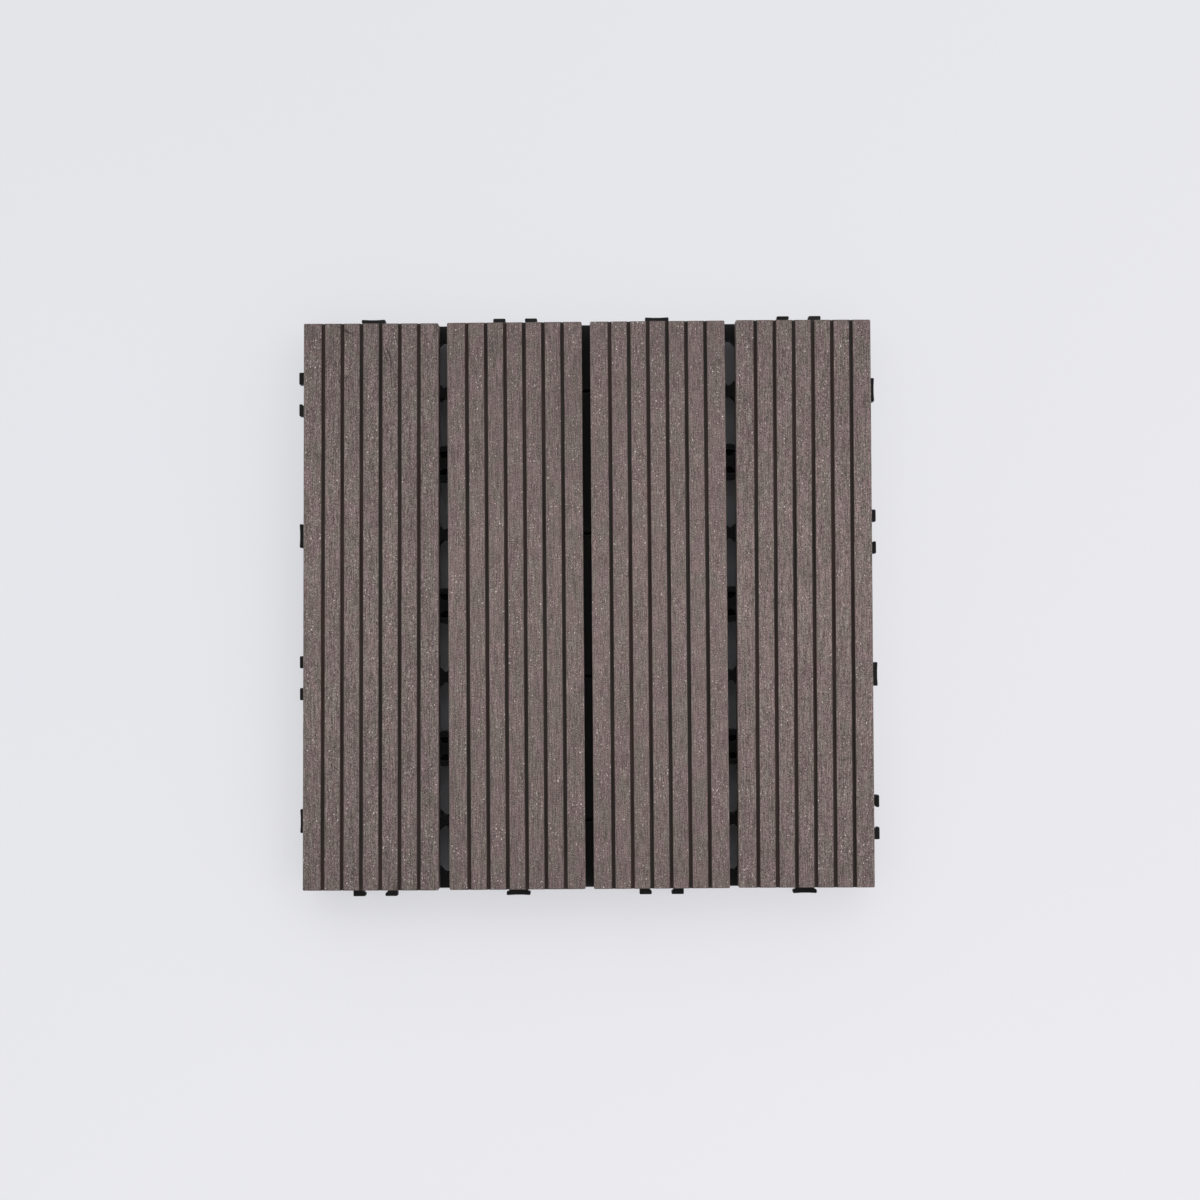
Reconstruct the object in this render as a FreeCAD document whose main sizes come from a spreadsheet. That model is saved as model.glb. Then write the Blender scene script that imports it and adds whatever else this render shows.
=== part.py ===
import FreeCAD, Part
import math
import os
import Sketcher

# An interlocking deck tile: four grooved composite boards screwed from below to one moulded
# grid, which stands on ring feet and locks to the next tile with T keys and claw pairs.
# Millimetres. The origin is the middle of the tile on the ground, the boards run along Y.

MODULES = 4  # board widths, and key places, along each side
LAST_STEP = 2 * MODULES - 2  # last whole opening from the middle, in steps of the rib net
FIRST = -(MODULES - 1) / 2  # outermost module, counted from the middle
SCREW_SIDES = 12  # flats round a screw and the holes it goes through
BOSS_SIDES = 8
GROOVES = 6  # in each board
ALONE = 1, "1"  # no repeat in this direction

doc = FreeCAD.newDocument("deck_tile")

# Driving dimensions

sizes = [
    ("board_length", 300.0, "board, and the grid under it, along the grooves"),
    ("board_width", 71.5, "board, across the grooves"),
    ("board_thickness", 11.0, "board, from the grid to the tops of its ridges"),
    ("board_chamfer", 0.6, "broken edge round the top of a board"),
    ("side_gap", 5.2, "between an outer and an inner board"),
    ("centre_gap", 4.4, "between the two inner boards"),
    ("outer_skew", 0.25, "turn of the outer boards in degrees, as they were screwed down"),
    ("groove_pitch", 10.14, "from groove to groove"),
    ("groove_width", 1.7, "groove, at the top"),
    ("groove_floor", 1.1, "groove, at the bottom"),
    ("groove_depth", 1.5, "groove, below the tops of the ridges"),
    ("grid_height", 11.0, "from the ground to the seat of the boards"),
    ("rib_lift", 3.0, "free space under the ribs, where feet and screw heads have their depth"),
    ("board_overhang", 0.4, "outer board past the grid"),
    ("frame_wall", 3.0, "outer rib of the grid"),
    ("frame_round", 3.0, "corner of the grid, seen from above"),
    ("rib_width", 3.0, "slanting rib"),
    ("rib_corner", 1.2, "length cut off either side of a corner between two slanting ribs"),
    ("border_web", 4.7, "solid web between the outer rib and the last opening"),
    ("spine_width", 8.0, "straight rib under the centre gap"),
    ("slot_width", 1.9, "drain slot across the straight rib"),
    ("slot_length", 5.0, "drain slot, along its longer side"),
    ("foot_diameter", 19.0, "ring foot, outside"),
    ("foot_wall", 3.0, "ring foot, wall"),
    ("boss_width", 12.0, "eight-sided screw boss, across its flats"),
    ("screw_diameter", 4.0, "screw shank"),
    ("screw_length", 14.0, "screw, from under its head to its tip"),
    ("screw_point", 3.0, "screw, tapered end"),
    ("screw_tip", 0.8, "screw, flat left at its very end"),
    ("head_diameter", 7.6, "screw head"),
    ("head_height", 2.4, "screw head, from the underside of the ribs down"),
    ("head_play", 0.5, "between the head and its recess, all round"),
    ("shank_play", 0.3, "between the shank and the boss, all round"),
    ("tile_gap", 4.8, "between the grids of two locked tiles"),
    ("key_height", 5.5, "T key and claw, from the underside of the ribs up"),
    ("key_neck", 10.0, "T key, neck across"),
    ("key_lip", 1.35, "T key, head past the neck at each end"),
    ("key_head", 2.0, "T key, head along its reach"),
    ("key_round", 0.6, "T key, length cut off either side of a head corner"),
    ("key_hollow", 0.3, "T key, dip in the middle of its outer face"),
    ("key_play", 0.4, "between a key or claw and the next tile's grid"),
    ("claw_stem", 5.2, "claw, stem across"),
    ("claw_tip", 1.4, "claw, flat inner end of its hook"),
    ("claw_round", 0.45, "claw, length cut off either side of an outer corner"),
    ("claw_play", 0.25, "between a claw and the T key it holds"),
]

sheet = doc.addObject("Spreadsheet::Sheet", "Sizes")
for row, (alias, value, meaning) in enumerate(sizes, start=1):
    sheet.set(f"A{row}", alias)
    sheet.set(f"B{row}", str(value))
    sheet.set(f"C{row}", meaning)
    sheet.setAlias(f"B{row}", alias)
doc.recompute()

# Places that follow from the sizes

layout = doc.addObject("App::VarSet", "Layout")


def derive(name, formula):
    layout.addProperty("App::PropertyFloat", name)
    layout.setExpression(name, formula)


def derive_layout():
    derive("inner_centre", "(Sizes.centre_gap + Sizes.board_width) / 2")
    derive("outer_centre", "inner_centre + Sizes.board_width + Sizes.side_gap")
    derive("half_wide", "outer_centre + Sizes.board_width / 2 - Sizes.board_overhang")
    derive("half_long", "Sizes.board_length / 2")
    # A module is a quarter of the pitch at which tiles lock together.
    derive("module_wide", f"(half_wide * 2 + Sizes.tile_gap) / {MODULES}")
    derive("module_long", f"(half_long * 2 + Sizes.tile_gap) / {MODULES}")
    # Slanting ribs cross at every other point of a net with this step.
    derive("step_wide", "module_wide / 4")
    derive("step_long", "module_long / 4")
    derive("slant", "sqrt(step_wide * step_wide + step_long * step_long)")
    derive("waist_wide", "Sizes.rib_width * slant / step_long / 2")
    derive("waist_long", "Sizes.rib_width * slant / step_wide / 2")
    # The last opening ends short of the outer rib.
    derive("rim_wide", "half_wide - Sizes.frame_wall")
    derive("rim_long", "half_long - Sizes.frame_wall")
    derive("end_wide", f"(rim_wide - Sizes.border_web - step_wide * {LAST_STEP} - waist_wide) / 2")
    derive("end_long", f"(rim_long - Sizes.border_web - step_long * {LAST_STEP} - waist_long) / 2")
    # Keys and claws reach the same way out, and a claw closes round a key.
    derive("reach", "Sizes.tile_gap - Sizes.key_play")
    derive("key_half", "Sizes.key_neck / 2 + Sizes.key_lip")
    derive("hook_inner", "Sizes.key_neck / 2 + Sizes.claw_play")
    derive("stem_inner", "key_half + Sizes.claw_play")
    derive("stem_outer", "stem_inner + Sizes.claw_stem")
    derive("hole_depth", "Sizes.rib_lift + Sizes.screw_length - Sizes.grid_height")


derive_layout()
doc.recompute()

# Sketch tools


def new_body(name):
    body = doc.addObject("PartDesign::Body", name)
    body.Label = name
    return body


def origin_feature(body, role):
    return next(item for item in body.Origin.OriginFeatures if item.Role == role)


def new_sketch(body, name, plane="XY_Plane", height=None):
    sketch = body.newObject("Sketcher::SketchObject", name)
    sketch.AttachmentSupport = [(origin_feature(body, plane), "")]
    sketch.MapMode = "FlatFace"
    if height:
        sketch.setExpression("AttachmentOffset.Base.z", height)
    return sketch


def bind(sketch, *rows):
    """Adds a constraint for each (kind, formula, place, ...) row, all at once to spare the solver."""
    made = [
        Sketcher.Constraint(kind, *places, value_of(sketch, formula)) for kind, formula, *places in rows
    ]
    for index, (kind, formula, *places) in zip(sketch.addConstraint(made), rows):
        sketch.setExpression(f"Constraints[{index}]", formula)


def value_of(owner, formula):
    result = owner.evalExpression(formula)
    return float(getattr(result, "Value", result))


def at_point(item, end, across, along):
    return [("DistanceX", across, -1, 1, item, end), ("DistanceY", along, -1, 1, item, end)]


def circle(sketch, across, along, diameter):
    centre = FreeCAD.Vector(value_of(sketch, across), value_of(sketch, along), 0)
    radius = value_of(sketch, diameter) / 2
    item = sketch.addGeometry(Part.Circle(centre, FreeCAD.Vector(0, 0, 1), radius))
    bind(sketch, *at_point(item, 3, across, along), ("Diameter", diameter, item))


def polygon(sketch, across, along, width, sides, turn="0"):
    """Draws a regular outline of that width across its flats, one flat facing along X."""
    corners = []
    for side in range(sides):
        angle = f"({turn} + {(side + 0.5) * 360 / sides})"
        radius = f"({width}) / 2 / cos({180 / sides})"
        corners.append((f"{across} + {radius} * cos{angle}", f"{along} + {radius} * sin{angle}", None))
    outline(sketch, corners)


def clipped(corners):
    """Cuts corners off an outline of (across, along, length cut off either side or None)."""
    result = []
    for index, (across, along, cut) in enumerate(corners):
        if cut is None:
            result.append((across, along, None))
            continue
        for near in (corners[index - 1], corners[(index + 1) % len(corners)]):
            aside, ahead = f"({near[0]} - ({across}))", f"({near[1]} - ({along}))"
            part = f"{cut} / sqrt({aside} * {aside} + {ahead} * {ahead})"
            result.append((f"{across} + {aside} * {part}", f"{along} + {ahead} * {part}", None))
    return result


def outline(sketch, corners):
    """Draws a closed outline through (across, along, rounding) corners, with sharp ones at None."""
    points = [
        FreeCAD.Vector(value_of(sketch, across), value_of(sketch, along), 0)
        for across, along, rounding in corners
    ]
    count = len(points)
    ends = []
    for index, (across, along, rounding) in enumerate(corners):
        if rounding is None:
            ends.append((points[index], points[index]))
            continue
        back = (points[index - 1] - points[index]).normalize()
        ahead = (points[(index + 1) % count] - points[index]).normalize()
        setback = value_of(sketch, rounding) / math.tan(back.getAngle(ahead) / 2)
        ends.append((points[index] + back * setback, points[index] + ahead * setback))
    lines = sketch.addGeometry(
        [Part.LineSegment(ends[index][1], ends[(index + 1) % count][0]) for index in range(count)]
    )
    joints, places = [], []
    for index, (across, along, rounding) in enumerate(corners):
        before, after = lines[index - 1], lines[index]
        if rounding is None:
            joints.append(Sketcher.Constraint("Coincident", before, 2, after, 1))
            places += at_point(after, 1, across, along)
            continue
        round_corner(sketch, before, after, points[index], ends[index], rounding)
        corner = sketch.addGeometry(Part.Point(points[index]), True)
        joints.append(Sketcher.Constraint("PointOnObject", corner, 1, before))
        joints.append(Sketcher.Constraint("PointOnObject", corner, 1, after))
        places += at_point(corner, 1, across, along)
    sketch.addConstraint(joints)
    bind(sketch, *places)


def round_corner(sketch, before, after, corner, ends, rounding):
    radius = value_of(sketch, rounding)
    start, stop = ends
    middle = (start + stop) / 2
    inward = (middle - corner).normalize()
    centre = corner + inward * math.hypot(radius, (start - corner).Length)
    arc = Part.Arc(start, centre - inward * radius, stop)
    item = sketch.addGeometry(arc)
    # The stored arc always runs anticlockwise, so its two ends may have changed places.
    first = sketch.getPoint(item, 1)
    start_end, stop_end = (1, 2) if (first - start).Length < (first - stop).Length else (2, 1)
    sketch.addConstraint(Sketcher.Constraint("Tangent", before, 2, item, start_end))
    sketch.addConstraint(Sketcher.Constraint("Tangent", item, stop_end, after, 1))
    bind(sketch, ("Radius", rounding, item))


def rectangle(sketch, left, right, low, high, rounding=None):
    corners = [(left, low), (right, low), (right, high), (left, high)]
    outline(sketch, [(across, along, rounding) for across, along in corners])


# Feature tools


def pad(body, sketch, name, length):
    feature = body.newObject("PartDesign::Pad", name)
    feature.Profile = (sketch, [""])
    feature.setExpression("Length", length)
    return feature


def pocket(body, sketch, name, length, upward=True):
    feature = body.newObject("PartDesign::Pocket", name)
    feature.Profile = (sketch, [""])
    feature.Reversed = upward
    feature.setExpression("Length", length)
    return feature


def set_rows(pattern, body, across, along):
    """Rows along X and Y: across and along are each (count, spacing)."""
    pattern.Direction = (origin_feature(body, "X_Axis"), [""])
    pattern.Occurrences = across[0]
    pattern.setExpression("Length", f"{max(across[0] - 1, 1)} * {across[1]}")
    pattern.Direction2 = (origin_feature(body, "Y_Axis"), [""])
    pattern.Occurrences2 = along[0]
    pattern.setExpression("Length2", f"{max(along[0] - 1, 1)} * {along[1]}")


def repeat(body, originals, name, across, along):
    pattern = body.newObject("PartDesign::LinearPattern", name)
    pattern.Originals = originals
    set_rows(pattern, body, across, along)
    body.Tip = pattern


def repeat_and_turn(body, originals, name, across, along):
    """Repeats features in rows, and the rows again on the opposite side of the tile."""
    pattern = body.newObject("PartDesign::MultiTransform", name)
    pattern.Originals = originals
    rows = doc.addObject("PartDesign::LinearPattern", f"{name}_line")
    set_rows(rows, body, across, along)
    turn = doc.addObject("PartDesign::PolarPattern", f"{name}_turn")
    turn.Axis = (origin_feature(body, "Z_Axis"), [""])
    turn.Angle = 360
    turn.Occurrences = 2
    pattern.Transformations = [rows, turn]
    body.Tip = pattern


# The moulded grid, seen from above: one flat outline with all its openings

MODULE_ROWS = (MODULES, "Layout.module_wide"), (MODULES, "Layout.module_long")
FOOT_ROWS = (MODULES - 1, "Layout.module_wide"), (MODULES - 1, "Layout.module_long")
FIRST_FOOT = "-Layout.module_wide", "-Layout.module_long"
FIRST_BOSS = f"{FIRST} * Layout.module_wide", f"{FIRST} * Layout.module_long"


def drawing(name, draw, *details):
    sketch = doc.addObject("Sketcher::SketchObject", name)
    draw(sketch, *details)
    sketch.recompute()
    return sketch


def in_rows(sketch, across, along):
    """Copies a drawing's faces in rows: across and along are each (count, spacing)."""
    face = Part.makeFace(sketch.Shape.Wires, "Part::FaceMakerBullseye")
    steps = value_of(layout, across[1]), value_of(layout, along[1])
    return [
        face.translated(FreeCAD.Vector(column * steps[0], row * steps[1], 0))
        for column in range(across[0])
        for row in range(along[0])
    ]


def diamond(sketch, across, along, half_across, half_along):
    corners = [
        (f"{across} + {half_across}", along),
        (across, f"{along} + {half_along}"),
        (f"{across} - {half_across}", along),
        (across, f"{along} - {half_along}"),
    ]
    outline(sketch, clipped([(x, y, "Sizes.rib_corner") for x, y in corners]))


def ring(sketch, across, along, outside, inside):
    circle(sketch, across, along, outside)
    circle(sketch, across, along, inside)


def lattice_openings():
    """Diamonds between slanting ribs, in two nets, each set between the other's rows."""
    wide, long = "Layout.step_wide", "Layout.step_long"
    half = "(Layout.step_wide - Layout.waist_wide)", "(Layout.step_long - Layout.waist_long)"
    inner = LAST_STEP - 1
    odd = drawing("odd_opening", diamond, f"-{inner} * {wide}", f"-{LAST_STEP} * {long}", *half)
    even = drawing("even_opening", diamond, f"-{LAST_STEP} * {wide}", f"-{inner} * {long}", *half)
    rows = in_rows(odd, (LAST_STEP, f"2 * {wide}"), (LAST_STEP + 1, f"2 * {long}"))
    return rows + in_rows(even, (LAST_STEP + 1, f"2 * {wide}"), (LAST_STEP, f"2 * {long}"))


def border_openings():
    """Shorter diamonds next to the outer rib."""
    wide, long = "Layout.step_wide", "Layout.step_long"
    end_at = f"({LAST_STEP} * {long} + Layout.waist_long + Layout.end_long)"
    flank_at = f"({LAST_STEP} * {wide} + Layout.waist_wide + Layout.end_wide)"
    end_half = f"(Layout.end_long * {wide} / {long})", "Layout.end_long"
    flank_half = "Layout.end_wide", f"(Layout.end_wide * {long} / {wide})"
    end = drawing("end_opening", diamond, f"-{LAST_STEP} * {wide}", f"-{end_at}", *end_half)
    flank = drawing("flank_opening", diamond, f"-{flank_at}", f"-{LAST_STEP} * {long}", *flank_half)
    rows = in_rows(end, (LAST_STEP + 1, f"2 * {wide}"), (2, f"2 * {end_at}"))
    return rows + in_rows(flank, (2, f"2 * {flank_at}"), (LAST_STEP + 1, f"2 * {long}"))


def rim_openings():
    """Three-cornered openings between the border ribs and the outer rib, on all four sides."""
    wide, long = "Layout.step_wide", "Layout.step_long"
    outer = LAST_STEP + 1
    end_tip = f"({outer} * {long} + Layout.waist_long)"
    flank_tip = f"({outer} * {wide} + Layout.waist_wide)"
    end_spread = f"((Layout.rim_long - {end_tip}) * {wide} / {long})"
    flank_spread = f"((Layout.rim_wide - {flank_tip}) * {long} / {wide})"
    cut = "Sizes.rib_corner / 2"
    rows = []
    for side, name in ((1, "far"), (-1, "near")):
        end = [
            (f"-{outer} * {wide} - {end_spread}", f"{side} * Layout.rim_long", None),
            (f"-{outer} * {wide}", f"{side} * {end_tip}", cut),
            (f"-{outer} * {wide} + {end_spread}", f"{side} * Layout.rim_long", None),
        ]
        flank = [
            (f"{side} * Layout.rim_wide", f"-{outer} * {long} - {flank_spread}", None),
            (f"{side} * {flank_tip}", f"-{outer} * {long}", cut),
            (f"{side} * Layout.rim_wide", f"-{outer} * {long} + {flank_spread}", None),
        ]
        end_drawing = drawing(f"{name}_end_corner", outline, clipped(end))
        flank_drawing = drawing(f"{name}_flank_corner", outline, clipped(flank))
        rows += in_rows(end_drawing, (outer + 1, f"2 * {wide}"), ALONE)
        rows += in_rows(flank_drawing, ALONE, (outer + 1, f"2 * {long}"))
    return rows


def grid_plan():
    """The grid's outline with its openings, kept clear of the feet, the bosses and the spine."""
    foot_sizes = "Sizes.foot_diameter", "Sizes.foot_diameter - 2 * Sizes.foot_wall"
    spine_half, slot_half = "Sizes.spine_width / 2", "(Sizes.slot_width / 2)"
    slot_at = f"({FIRST_BOSS[1]})"
    slot_edges = (
        "-Sizes.slot_length / 2",
        "Sizes.slot_length / 2",
        f"{slot_at} - {slot_half}",
        f"{slot_at} + {slot_half}",
    )
    edges = "-Layout.half_wide", "Layout.half_wide", "-Layout.half_long", "Layout.half_long"
    spine_edges = f"-{spine_half}", spine_half, edges[2], edges[3]

    rim = drawing("grid_outline", rectangle, *edges, "Sizes.frame_round")
    foot = drawing("foot_ring", ring, *FIRST_FOOT, *foot_sizes)
    boss = drawing("boss_outline", polygon, *FIRST_BOSS, "Sizes.boss_width", BOSS_SIDES)
    spine = drawing("spine_outline", rectangle, *spine_edges)
    slot = drawing("drain_slot", rectangle, *slot_edges)
    clear = "Sizes.screw_diameter + 2 * Sizes.shank_play"
    hole = drawing("screw_hole", polygon, *FIRST_BOSS, clear, SCREW_SIDES)

    openings = Part.makeCompound(lattice_openings() + border_openings() + rim_openings())
    islands = in_rows(foot, *FOOT_ROWS) + in_rows(boss, *MODULE_ROWS) + [Part.Face(spine.Shape.Wires[0])]
    holes = openings.cut(islands).Faces
    holes += in_rows(slot, ALONE, MODULE_ROWS[1]) + in_rows(hole, *MODULE_ROWS)
    wires = rim.Shape.Wires + [hole.OuterWire for hole in holes]
    return Part.makeFace(wires, "Part::FaceMakerBullseye")


def build_web():
    plan = doc.addObject("Part::Feature", "grid_plan")
    plan.Shape = grid_plan()
    web = doc.addObject("Part::Extrusion", "grid_web")
    web.Base = plan
    web.Dir = FreeCAD.Vector(0, 0, 1)
    web.Solid = True
    web.setExpression("LengthFwd", "Sizes.grid_height - Sizes.rib_lift")
    web.setExpression("Placement.Base.z", "Sizes.rib_lift")
    return web


# What stands under the grid, and what stands out of its sides


def build_feet():
    body = new_body("grid_feet")
    body.AllowCompound = True
    sketch = new_sketch(body, "foot_outline")
    circle(sketch, *FIRST_FOOT, "Sizes.foot_diameter")
    foot = pad(body, sketch, "foot", "Sizes.rib_lift")
    repeat(body, [foot], "feet", *FOOT_ROWS)
    return body


def build_skirts():
    body = new_body("boss_skirts")
    body.AllowCompound = True
    sketch = new_sketch(body, "skirt_outline")
    recess = "Sizes.head_diameter + 2 * Sizes.head_play"
    polygon(sketch, *FIRST_BOSS, "Sizes.boss_width", BOSS_SIDES)
    polygon(sketch, *FIRST_BOSS, recess, SCREW_SIDES)
    skirt = pad(body, sketch, "skirt", "Sizes.rib_lift")
    repeat(body, [skirt], "skirts", *MODULE_ROWS)
    return body


def key_corners():
    """T key, as (sideways, outward, cut corner), outward counted from the grid's outer face."""
    neck, head = "Sizes.key_neck / 2", "Layout.key_half"
    shoulder = "(Layout.reach - Sizes.key_head)"
    dip = "(Layout.reach - Sizes.key_hollow)"
    root = "(-Sizes.frame_wall / 2)"
    right = [
        (neck, root, None),
        (neck, shoulder, None),
        (head, shoulder, "Sizes.key_round"),
        (head, "Layout.reach", "Sizes.key_round"),
        (f"{head} - Sizes.key_head", "Layout.reach", None),
    ]
    left = [(f"-({across})", along, cut) for across, along, cut in reversed(right)]
    return right + [("0", dip, None)] + left


def claw_corners(side):
    """One claw of a pair, on the right for 1 and on the left for -1."""
    hook, inner, outer = "Layout.hook_inner", "Layout.stem_inner", "Layout.stem_outer"
    barb = "(Layout.reach - Sizes.claw_tip)"
    corners = [
        (inner, "(-Sizes.frame_wall / 2)", None),
        (outer, "(-Sizes.frame_wall / 2)", None),
        (outer, "Layout.reach", "Sizes.claw_round"),
        (hook, "Layout.reach", "Sizes.claw_round"),
        (hook, barb, None),
        (inner, f"{barb} - Sizes.key_lip", None),
    ]
    return [(f"{side} * ({across})", along, cut) for across, along, cut in corners]


def on_end(place, corner):
    across, out, cut = corner
    return f"{place} + {across}", f"Layout.half_long + {out}", cut


def on_flank(place, corner):
    across, out, cut = corner
    return f"Layout.half_wide + {out}", f"{place} - ({across})", cut


def build_keys():
    """Keys and claws take turns along each side, in the same order all the way round."""
    body = new_body("grid_keys")
    body.AllowCompound = True
    wide, long = "Layout.module_wide", "Layout.module_long"
    pairs = MODULES // 2
    sides = [
        ("end", on_end, wide, FIRST, FIRST + 1, (pairs, f"2 * {wide}"), ALONE),
        ("flank", on_flank, long, FIRST + 1, FIRST, ALONE, (pairs, f"2 * {long}")),
    ]
    for name, turn, module, key_at, claw_at, across, along in sides:
        sketch = new_sketch(body, f"{name}_key_outline", height="Sizes.rib_lift")
        outline(sketch, clipped([turn(f"{key_at} * {module}", corner) for corner in key_corners()]))
        key = pad(body, sketch, f"{name}_key", "Sizes.key_height")
        sketch = new_sketch(body, f"{name}_claw_outline", height="Sizes.rib_lift")
        for side in (1, -1):
            corners = [turn(f"{claw_at} * {module}", corner) for corner in claw_corners(side)]
            outline(sketch, clipped(corners))
        claw = pad(body, sketch, f"{name}_claw", "Sizes.key_height")
        repeat_and_turn(body, [key, claw], f"{name}_row", across, along)
    return body


def build_grid():
    grid = doc.addObject("Part::MultiFuse", "base_grid")
    grid.Label = "base_grid"
    grid.Shapes = [build_web(), build_feet(), build_skirts(), build_keys()]
    return grid


# Boards


def build_board(name, column, centre, skew):
    body = new_body(name)
    body.Placement = FreeCAD.Placement(
        FreeCAD.Vector(0, 0, 0), FreeCAD.Rotation(FreeCAD.Vector(0, 0, 1), 0)
    )
    body.setExpression("Placement.Base.x", centre)
    body.setExpression("Placement.Base.z", "Sizes.grid_height")
    body.setExpression("Placement.Rotation.Angle", skew)

    sketch = new_sketch(body, f"{name}_blank")
    half_width, half_length = "Sizes.board_width / 2", "Sizes.board_length / 2"
    rectangle(sketch, f"-{half_width}", half_width, f"-{half_length}", half_length)
    blank = pad(body, sketch, f"{name}_plank", "Sizes.board_thickness")
    doc.recompute()

    chamfer = body.newObject("PartDesign::Chamfer", f"{name}_broken_edges")
    chamfer.Base = (blank, ["Face6"])
    chamfer.setExpression("Size", "Sizes.board_chamfer")

    sketch = new_sketch(body, f"{name}_groove_section", plane="XZ_Plane")
    first = f"(-{(GROOVES - 1) / 2} * Sizes.groove_pitch)"
    top, floor = "Sizes.groove_width / 2", "Sizes.groove_floor / 2"
    low = "Sizes.board_thickness - Sizes.groove_depth"
    corners = [
        (f"{first} - {floor}", low, None),
        (f"{first} + {floor}", low, None),
        (f"{first} + {top}", "Sizes.board_thickness", None),
        (f"{first} - {top}", "Sizes.board_thickness", None),
    ]
    outline(sketch, corners)
    groove = pocket(body, sketch, f"{name}_groove", "Sizes.board_length + 2 * Sizes.groove_pitch")
    groove.SideType = "Symmetric"
    repeat(body, [groove], f"{name}_grooves", (GROOVES, "Sizes.groove_pitch"), ALONE)

    # The screws find their own way in, so these holes stay square to the grid.
    sketch = new_sketch(body, f"{name}_hole_outline")
    for row in range(MODULES):
        aside = f"({FIRST + column} * Layout.module_wide - {centre})"
        along = f"({FIRST + row} * Layout.module_long)"
        across = f"({aside} * cos({skew}) + {along} * sin({skew}))"
        ahead = f"({along} * cos({skew}) - {aside} * sin({skew}))"
        polygon(sketch, across, ahead, "Sizes.screw_diameter", SCREW_SIDES, f"-({skew})")
    pocket(body, sketch, f"{name}_holes", "Layout.hole_depth")
    return body


def build_boards():
    return [
        build_board("board_left_outer", 0, "(-Layout.outer_centre)", "(-Sizes.outer_skew)"),
        build_board("board_left_inner", 1, "(-Layout.inner_centre)", "0"),
        build_board("board_right_inner", 2, "Layout.inner_centre", "0"),
        build_board("board_right_outer", 3, "Layout.outer_centre", "(-Sizes.outer_skew)"),
    ]


# Screws


def build_screws():
    """Flat-sided stand-ins for threaded screws: a head, a shank and a tapered point."""
    body = new_body("fixing_screws")
    body.AllowCompound = True
    seat, tip = "Sizes.rib_lift", "Sizes.rib_lift + Sizes.screw_length"
    levels = [
        ("head", "Sizes.head_diameter", f"{seat} - Sizes.head_height"),
        ("shank", "Sizes.screw_diameter", seat),
        ("shoulder", "Sizes.screw_diameter", f"{tip} - Sizes.screw_point"),
        ("tip", "Sizes.screw_tip", tip),
    ]
    sketches = {}
    for name, width, height in levels:
        sketches[name] = new_sketch(body, f"screw_{name}_outline", height=height)
        polygon(sketches[name], *FIRST_BOSS, width, SCREW_SIDES)
    head = pad(body, sketches["head"], "screw_head", "Sizes.head_height")
    shank = pad(body, sketches["shank"], "screw_shank", "Sizes.screw_length - Sizes.screw_point")
    point = body.newObject("PartDesign::AdditiveLoft", "screw_point")
    point.Profile = (sketches["shoulder"], [""])
    point.Sections = [(sketches["tip"], [""])]
    point.Ruled = True
    repeat(body, [head, shank, point], "screws", *MODULE_ROWS)
    return body


# Build, test and write

pieces = build_boards() + [build_screws(), build_grid()]
doc.recompute()

for item in doc.Objects:
    if "Invalid" in item.State or "Error" in item.State:
        raise RuntimeError(f"{item.Name} failed: {item.State}")

expected_solids = {"fixing_screws": MODULES * MODULES}
os.makedirs("parts", exist_ok=True)
for piece in pieces:
    shape = piece.Shape
    if shape.isNull() or not shape.isValid():
        raise RuntimeError(f"{piece.Label} has no valid shape")
    if len(shape.Solids) != expected_solids.get(piece.Label, 1):
        raise RuntimeError(f"{piece.Label} has {len(shape.Solids)} solids")
    shape.exportStep(f"parts/{piece.Label}.step")
    box = shape.BoundBox
    print(f"{piece.Label}: {box.XLength:.2f} x {box.YLength:.2f} x {box.ZLength:.2f}, {shape.Volume:.0f} mm3")
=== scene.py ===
import math
import random

import bmesh
import bpy
from mathutils import Matrix, Vector, noise


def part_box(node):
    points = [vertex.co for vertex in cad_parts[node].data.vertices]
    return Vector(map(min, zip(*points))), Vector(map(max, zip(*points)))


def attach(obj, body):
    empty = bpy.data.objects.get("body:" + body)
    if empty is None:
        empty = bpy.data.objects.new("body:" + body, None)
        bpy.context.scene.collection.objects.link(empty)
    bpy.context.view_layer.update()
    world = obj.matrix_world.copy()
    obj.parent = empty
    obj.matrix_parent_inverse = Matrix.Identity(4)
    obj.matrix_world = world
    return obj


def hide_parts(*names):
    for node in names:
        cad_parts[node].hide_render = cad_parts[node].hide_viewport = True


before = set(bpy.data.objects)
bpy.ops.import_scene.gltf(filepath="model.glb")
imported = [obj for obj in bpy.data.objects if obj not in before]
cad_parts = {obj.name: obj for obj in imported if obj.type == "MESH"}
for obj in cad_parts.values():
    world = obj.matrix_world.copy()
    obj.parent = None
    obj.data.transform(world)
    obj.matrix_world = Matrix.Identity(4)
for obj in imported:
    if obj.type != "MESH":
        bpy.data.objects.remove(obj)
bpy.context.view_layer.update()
print("frame loaded")

mm = 0.001
hair = 0.01 * mm  # two places closer than this are taken for one

# Camera, fitted to the corners of the four boards and the tips of the keys
cameraLook = {
    "place": (12.7 * mm, -35.9 * mm, 1077.7 * mm),
    "tilt": -2.057,  # degrees about the picture's width
    "lean": -0.336,  # degrees about the picture's height
    "roll": 0.430,  # degrees about the line of sight
    "lens": 60.0,
    "sensor": 36.0,
    "clip": (0.01, 60),
}


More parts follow.
